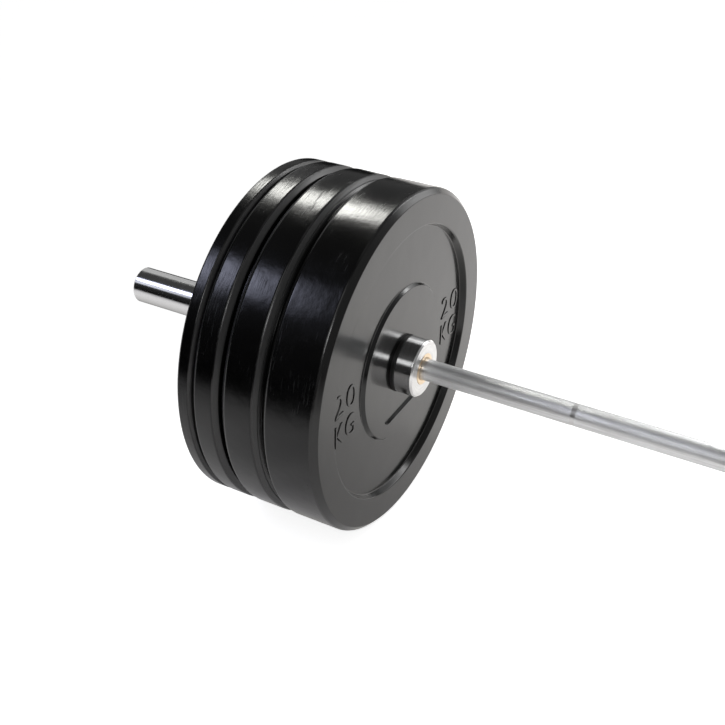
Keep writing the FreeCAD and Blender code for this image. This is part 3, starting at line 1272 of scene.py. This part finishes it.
@dataclass(frozen=True)
class Shaft:
    """The knurled shaft with its smooth rings."""

    radius: float = 14.0
    reach: float = 1087.0
    ring_mark: float = 455.0
    ring_width: float = 6.0
    ring_depth: float = 0.3
    grip_inner: float = 215.0
    grip_outer: float = 649.0
    pitch: float = 1.0
    knurl_depth: float = 0.09
    knurl_wall: float = 0.8
    grooves: tuple[float, float] = (1033.4, 1079.5)
    groove_width: float = 1.5
    groove_radius: float = 13.2
    end_chamfer: float = 1.0
    step_round: float = 0.1
    end_round: float = 0.2
    lathe: Lathe = Lathe(segments=96, round_steps=2)

    @property
    def knurl_floor(self) -> float:
        """Radius at the bottom of the knurling."""
        return self.radius - self.knurl_depth

    def build(self, dressing: Dressing) -> None:
        """Model the shaft and its knurled stretches and put them on the bar's body.

        Args:
            dressing: Puts the pieces on their bodies.
        """
        core = self.lathe.turn("shaft_core", self._outline(), hollow=False)
        smooth(core)
        dressing.put(core, "shaft_assembly", "shaft_chrome", ["shaft"])
        half = self.ring_width / 2
        stretches = (
            Knurl("outer_knurl", self.ring_mark + half, self.grip_outer),
            Knurl("inner_knurl", self.grip_inner, self.ring_mark - half),
        )
        for stretch in stretches:
            left = self._knurl(stretch)
            right = copy_to_other_end(left, End.RIGHT.node(stretch.name))
            for piece in (left, right):
                dressing.put(piece, "shaft_assembly", "shaft_knurl")

    def _outline(self) -> list[Corner]:
        """Outline of the shaft under its knurling, from the left end to the right.

        Returns:
            Corners along the whole bar.
        """
        under = self.radius - self.knurl_wall / 2
        half = self.ring_width / 2
        floor = self.radius - self.ring_depth
        right = [
            Corner(self.grip_inner, self.radius, self.step_round),
            Corner(self.grip_inner, under),
            Corner(self.ring_mark - half, under),
            Corner(self.ring_mark - half, floor),
            Corner(self.ring_mark + half, floor),
            Corner(self.ring_mark + half, under),
            Corner(self.grip_outer, under),
            Corner(self.grip_outer, self.radius, self.step_round),
        ]
        for groove in self.grooves:
            right += [
                Corner(groove, self.radius),
                Corner(groove, self.groove_radius),
                Corner(groove + self.groove_width, self.groove_radius),
                Corner(groove + self.groove_width, self.radius),
            ]
        right += [
            Corner(self.reach - self.end_chamfer, self.radius, self.end_round),
            Corner(self.reach, self.radius - self.end_chamfer, self.end_round),
        ]
        left = [Corner(-corner.along, corner.radius, corner.rounded) for corner in reversed(right)]
        return [*left, *right]

    def _knurl(self, stretch: Knurl) -> bpy.types.Object:
        """Model one knurled stretch at the left end: a ring of diamonds, repeated along the bar.

        Args:
            stretch: Where the knurling is.

        Returns:
            The stretch as a closed tube.
        """
        around = 2 * round(math.pi * self.radius / self.pitch)
        rows = round((stretch.end - stretch.start) / self.pitch)
        pitch = (stretch.end - stretch.start) / rows
        clear_selection()
        bpy.ops.mesh.primitive_cylinder_add(
            vertices=around,
            radius=self.knurl_floor * MM,
            depth=pitch * MM,
            end_fill_type="NOTHING",
            location=((-stretch.end + pitch / 2) * MM, 0, 0),
            rotation=(0, math.pi / 2, 0),
        )
        piece = bpy.context.object
        piece.name = End.LEFT.node(stretch.name)
        piece.data.name = piece.name
        settle(piece)
        self._raise_diamonds(piece, around)
        rings = piece.modifiers.new("rings", "ARRAY")
        rings.count = rows
        rings.use_relative_offset = False
        rings.use_constant_offset = True
        rings.constant_offset_displace = (pitch * MM, 0, 0)
        rings.use_merge_vertices = True
        rings.merge_threshold = SNAP
        bpy.ops.object.modifier_apply(modifier=rings.name)
        self._close_ends(piece)
        return piece

    def _raise_diamonds(self, piece: bpy.types.Object, around: int) -> None:
        """Cut a plain ring in two rows and raise every other vertex of each row.

        Args:
            piece: The ring.
            around: Number of vertices in a row.
        """
        bpy.ops.object.mode_set(mode="EDIT")
        bpy.ops.mesh.select_mode(type="EDGE")
        mesh = bmesh.from_edit_mesh(piece.data)
        for edge in mesh.edges:
            first, second = edge.verts
            edge.select_set(abs(first.co.x - second.co.x) > SNAP)
        bmesh.update_edit_mesh(piece.data)
        bpy.ops.mesh.subdivide(number_cuts=1)
        bpy.ops.mesh.select_mode(type="VERT")
        mesh = bmesh.from_edit_mesh(piece.data)
        levels = sorted({round(vert.co.x, 6) for vert in mesh.verts})
        step = 2 * math.pi / around
        for vert in mesh.verts:
            row = min(range(len(levels)), key=lambda index: abs(levels[index] - vert.co.x))
            place = round(math.atan2(vert.co.z, vert.co.y) / step)
            vert.select_set((place + row) % 2 == 0)
        bmesh.update_edit_mesh(piece.data)
        growth = self.radius / self.knurl_floor
        bpy.ops.transform.resize(value=(1, growth, growth), center_override=(0, 0, 0))
        bpy.ops.mesh.select_all(action="SELECT")
        bpy.ops.mesh.quads_convert_to_tris(quad_method="SHORTEST_DIAGONAL")
        bpy.ops.object.mode_set(mode="OBJECT")

    def _close_ends(self, piece: bpy.types.Object) -> None:
        """Turn the ends of a knurled tube in and join them by a plain inner wall.

        Args:
            piece: The tube, open at both ends.
        """
        bpy.ops.object.mode_set(mode="EDIT")
        bpy.ops.mesh.select_mode(type="EDGE")
        bpy.ops.mesh.select_all(action="DESELECT")
        bpy.ops.mesh.select_non_manifold()
        bpy.ops.mesh.extrude_edges_move(TRANSFORM_OT_translate={"value": (0, 0, 0)})
        bpy.ops.mesh.select_mode(type="VERT")
        mesh = bmesh.from_edit_mesh(piece.data)
        inner = (self.radius - self.knurl_wall) * MM
        for vert in mesh.verts:
            if vert.select:
                turn = inner / math.hypot(vert.co.y, vert.co.z)
                vert.co.y *= turn
                vert.co.z *= turn
        bmesh.update_edit_mesh(piece.data)
        bpy.ops.mesh.select_mode(type="EDGE")
        bpy.ops.mesh.select_all(action="DESELECT")
        bpy.ops.mesh.select_non_manifold()
        bpy.ops.mesh.bridge_edge_loops()
        bpy.ops.mesh.select_all(action="SELECT")
        bpy.ops.mesh.normals_make_consistent(inside=False)
        bpy.ops.object.mode_set(mode="OBJECT")


# Studio


@dataclass(frozen=True)
class Softbox:
    """A rectangular studio light in metres, aimed square across the bar at a height above its axis."""

    name: str
    place: tuple[float, float, float]
    aim_height: float
    size: tuple[float, float]
    radiance: float
    colour: tuple[float, float, float] = (1.0, 1.0, 1.0)
    fade: float = 0.0

    def build(self) -> None:
        """Hang the light and aim it."""
        lamp = bpy.data.lights.new(self.name, "AREA")
        lamp.shape = "RECTANGLE"
        lamp.size, lamp.size_y = self.size
        lamp.energy = self.radiance * math.pi * self.size[0] * self.size[1]
        lamp.color = self.colour
        if self.fade:
            self._soften(lamp)
        holder = bpy.data.objects.new(self.name, lamp)
        holder.location = self.place
        aim = Vector((self.place[0], 0.0, self.aim_height))
        holder.rotation_euler = (aim - Vector(self.place)).to_track_quat("-Z", "Y").to_euler()
        bpy.context.scene.collection.objects.link(holder)

    def _soften(self, lamp: bpy.types.Light) -> None:
        """Fade the light towards its edges.

        Args:
            lamp: The light.
        """
        lamp.use_nodes = True
        shader = Shader(lamp.node_tree)
        across, up, _ = shader.split(shader.node("ShaderNodeNewGeometry", output="Parametric"))
        share: Any = 1.0
        for place in (across, up):
            share = share * place.ramp(0.0, self.fade) * (1 - place).ramp(0.0, self.fade)
        glow = shader.node("ShaderNodeEmission", sockets={"Color": grey(1.0), "Strength": share})
        shader.node_output(glow, "ShaderNodeOutputLight")


@dataclass(frozen=True)
class Floor:
    """The pale floor: white to the camera, apart from contact shade, and uneven in reflections.

    Spans are in metres. Across runs along the bar and back runs away from the camera.
    """

    height: float = -225.0
    reach: float = 40.0
    glow: float = 1.0
    albedo: float = 0.8
    dark_albedo: float = 0.02
    mirrored_glow: float = 0.26
    mirrored_back: float = 0.72
    mirrored_left: float = 0.25
    mirrored_near: float = 0.40
    warmth: float = 0.03
    contact: float = 0.20
    contact_reach: float = 0.45
    contact_samples: int = 8
    front_end: Span = (-2.6, -2.0)
    back_rise: Span = (-0.25, 0.5)
    left_end: Span = (-1.05, -0.85)
    left_front: Span = (-1.6, -0.3)
    left_back: Span = (0.0, 0.3)
    corner_lean: float = 0.38
    corner_edge: Span = (-0.97, -0.87)
    corner_front: Span = (-0.3, 0.3)
    near_left: Span = (-0.9, -0.6)
    near_right: Span = (0.1, 0.4)
    near_back: Span = (-0.35, 0.0)

    def build(self) -> None:
        """Lay the floor and paint it."""
        clear_selection()
        bpy.ops.mesh.primitive_plane_add(size=self.reach, location=(0, 0, self.height * MM))
        floor = bpy.context.object
        floor.name = "floor"
        settle(floor)
        floor.data.materials.append(self._paint())

    def _paint(self) -> bpy.types.Material:
        """Make the floor's material.

        Returns:
            The finished material.
        """
        shader, material = Shader.for_material("pale_floor")
        rays = shader.node("ShaderNodeLightPath").socket.node.outputs
        camera = Wire(shader, rays["Is Camera Ray"])
        mirrored = Wire(shader, rays["Is Glossy Ray"]).larger(Wire(shader, rays["Is Transmission Ray"]))
        across, back, _ = shader.split(shader.place())
        left = 1 - across.ramp(*self.left_end)
        lit = self._lit(across, back, left)
        glow = self._mirrored_glow(across, back, left)
        settings = {"samples": self.contact_samples}
        sockets = {"Distance": self.contact_reach}
        open_share = shader.node("ShaderNodeAmbientOcclusion", settings, sockets, output="AO")
        shade = open_share * self.contact + (1 - self.contact)
        strength = (camera * self.glow + mirrored * glow * lit) * shade
        tint = shader.mix(camera, grey(1.0, self.warmth), grey(1.0))
        shine = shader.node("ShaderNodeEmission", sockets={"Color": tint, "Strength": strength})
        colour = shader.mix(lit, grey(self.dark_albedo), grey(self.albedo))
        paint = shader.node("ShaderNodeBsdfDiffuse", sockets={"Color": colour})
        shader.node_output(shader.node("ShaderNodeAddShader", sockets={0: paint, 1: shine}))
        return material

    def _lit(self, across: Wire, back: Wire, left: Wire) -> Wire:
        """Share of the floor that is lit: its far front, near left and far left corner stay dark.

        Args:
            across: Place along the bar.
            back: Place away from the camera.
            left: Share of the floor's left part.

        Returns:
            The share.
        """
        corner = (across + back * self.corner_lean).ramp(*self.corner_edge)
        lit = back.ramp(*self.front_end) * (1 - (1 - corner) * back.ramp(*self.corner_front))
        return lit * (1 - left * (1 - back.ramp(*self.left_front)))

    def _mirrored_glow(self, across: Wire, back: Wire, left: Wire) -> Wire:
        """Brightness of the floor in reflections.

        Args:
            across: Place along the bar.
            back: Place away from the camera.
            left: Share of the floor's left part.

        Returns:
            The brightness.
        """
        glow = back.ramp(*self.back_rise) * self.mirrored_back + self.mirrored_glow
        glow = glow + left * (1 - back.ramp(*self.left_back)) * self.mirrored_left
        near = across.ramp(*self.near_left) * (1 - across.ramp(*self.near_right))
        return glow + near * (1 - back.ramp(*self.near_back)) * self.mirrored_near


@dataclass(frozen=True)
class Room:
    """The room: white to the camera and dark in reflections, with a pale backdrop at the left.

    Spans are parts of a direction's unit vector.
    """

    ambient: float = 0.07
    horizon: float = 0.013
    zenith: float = 0.045
    backdrop: float = 0.45
    behind: float = 0.12
    beside: float = 0.24
    zenith_rise: Span = (0.0, 0.9)
    behind_rise: Span = (0.3, 0.6)
    beside_rise: Span = (0.2, 0.5)
    backdrop_side: Span = (0.51, 0.55)
    backdrop_front: Span = (0.2, 0.4)
    backdrop_top: Span = (0.60, 0.70)

    def build(self) -> None:
        """Make the world."""
        world = bpy.data.worlds.new("room")
        bpy.context.scene.world = world
        world.use_nodes = True
        shader = Shader(world.node_tree)
        rays = shader.node("ShaderNodeLightPath").socket.node.outputs
        camera = Wire(shader, rays["Is Camera Ray"])
        mirrored = Wire(shader, rays["Is Glossy Ray"])
        across, back, up = shader.split(shader.node("ShaderNodeTexCoord", output="Generated"))
        sky = up.ramp(*self.zenith_rise) * self.zenith + self.horizon
        sky = sky + back.ramp(*self.behind_rise) * self.behind
        sky = sky + across.ramp(*self.beside_rise) * self.beside
        left = (0 - across).ramp(*self.backdrop_side) * back.ramp(*self.backdrop_front)
        dark = sky + left * (1 - up.ramp(*self.backdrop_top)) * self.backdrop
        strength = camera + mirrored * dark + (1 - camera.larger(mirrored)) * self.ambient
        glow = shader.node("ShaderNodeBackground", sockets={"Color": grey(1.0), "Strength": strength})
        shader.node_output(glow, "ShaderNodeOutputWorld")


@dataclass(frozen=True)
class Studio:
    """White floor, dark room, soft lights and the camera."""

    floor: Floor = Floor()
    room: Room = Room()
    camera_place: tuple[float, float, float] = (-0.1616, -1.0452, 0.7724)
    camera_turn: tuple[float, float, float] = (56.52, 0.0, 29.14)
    lens: float = 54.66
    sensor_width: float = 36.0
    lights: tuple[Softbox, ...] = (
        Softbox("back_light", (-1.50, 0.80, 1.25), 0.1, (0.7, 0.56), 19.0, (1.0, 1.0, 0.95), fade=0.4),
        Softbox("side_light", (-2.22, -1.10, 1.69), 0.1, (1.3, 0.95), 7.4, (0.75, 0.78, 1.0), fade=0.4),
        Softbox("low_light", (-2.45, -1.48, 1.17), 0.2, (0.7, 0.65), 1.3, (0.85, 0.88, 1.0), fade=0.4),
        Softbox("fill_light", (-0.42, -1.25, 1.45), 0.0, (0.8, 1.9), 1.2, fade=0.3),
        Softbox("top_light", (-0.72, 0.30, 1.50), 0.0, (0.9, 1.3), 0.3, fade=0.3),
        Softbox("front_strip", (0.08, -1.45, 1.13), 0.0, (0.5, 0.75), 10.0, fade=0.35),
        Softbox("rear_light", (0.05, 1.45, 0.60), 0.2, (1.1, 1.2), 2.4, fade=0.3),
        Softbox("rear_strip", (-0.08, 1.40, 1.12), 0.25, (0.32, 1.0), 8.0, fade=0.3),
        Softbox("wall_light", (-0.60, 1.56, 0.90), 0.0, (0.95, 2.0), 0.6, fade=0.2),
    )

    def build(self) -> None:
        """Set up the floor, the room, the lights and the camera."""
        self.floor.build()
        self.room.build()
        for light in self.lights:
            light.build()
        self._camera()
        bpy.context.scene.view_settings.view_transform = "Standard"

    def _camera(self) -> None:
        """Place the camera."""
        data = bpy.data.cameras.new("camera")
        data.lens = self.lens
        data.sensor_width = self.sensor_width
        camera = bpy.data.objects.new("camera", data)
        camera.location = self.camera_place
        camera.rotation_euler = [math.radians(angle) for angle in self.camera_turn]
        bpy.context.scene.collection.objects.link(camera)
        bpy.context.scene.camera = camera


def finishes(shaft: Shaft) -> dict[str, bpy.types.Material]:
    """Make every finish.

    Args:
        shaft: The shaft, whose knurling has a finish to its depth.

    Returns:
        The materials, by the name that the pieces use.
    """
    return {
        "plate_rubber": RubberFinish().material(),
        "hub_black": CoatedFinish().material(),
        "sleeve_chrome": ChromeFinish("sleeve_chrome", gloss=0.11).material(),
        "collar_chrome": ChromeFinish("collar_chrome", level=0.75, gloss=0.15, marks=0.06).material(),
        "collar_face": TurnedFinish("turned_collar_face", grey(0.72)).material(),
        "shaft_chrome": ChromeFinish("shaft_chrome", gloss=0.30).material(),
        "shaft_knurl": KnurlFinish(crest=shaft.radius, groove=shaft.knurl_floor).material(),
        "bushing_bronze": TurnedFinish("turned_bronze", (0.82, 0.66, 0.47, 1.0)).material(),
        "cap_steel": TurnedFinish("turned_cap", grey(0.60), gloss=0.30).material(),
        "spring_steel": PlainSteelFinish("phosphated_spring_steel", level=0.10, gloss=0.35).material(),
        "washer_steel": PlainSteelFinish("ground_washer_steel", level=0.55, gloss=0.28).material(),
    }


def plates(collar_back: float) -> list[Plate]:
    """Size the four plates of one end.

    Args:
        collar_back: Reach of the collar's back, where the first plate rests.

    Returns:
        The plates in the order in which they go on the sleeve.
    """
    sizes: tuple[dict[str, Any], ...] = (
        {"mark": 20, "width": 74.0, "bevel": 6.5, "recess": 8.3, "boss_drop": 4.0, "shoulder": 2.5},
        {
            "mark": 15,
            "width": 59.0,
            "bevel": 10.3,
            "recess": 7.0,
            "boss_drop": 3.3,
            "shoulder": 2.6,
            "bevel_grooves": (0.5, 0.8),
        },
        {"mark": 10, "width": 36.0, "bevel": 5.8, "recess": 5.6, "boss_drop": 2.6, "shoulder": 2.0},
        {"mark": 5, "width": 20.0, "bevel": 3.3, "recess": 3.5, "boss_drop": 1.6, "shoulder": 1.2},
    )
    made = []
    inner_face = collar_back
    for size in sizes:
        plate = Plate(inner_face=inner_face, **size)
        inner_face += plate.width + 2 * plate.hub_proud
        made.append(plate)
    return made


def main() -> None:
    """Build the barbell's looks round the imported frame, in order."""
    logging.basicConfig(level=logging.INFO, format="%(name)s: %(message)s")
    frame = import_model()
    sleeve_end = SleeveEnd()
    shaft = Shaft()
    dressing = Dressing(frame, finishes(shaft))
    lettering = Lettering()
    for plate in plates(sleeve_end.collar_back):
        plate.build(dressing, lettering)
    sleeve_end.build(dressing)
    shaft.build(dressing)
    Studio().build()


if __name__ == "__main__":
    main()
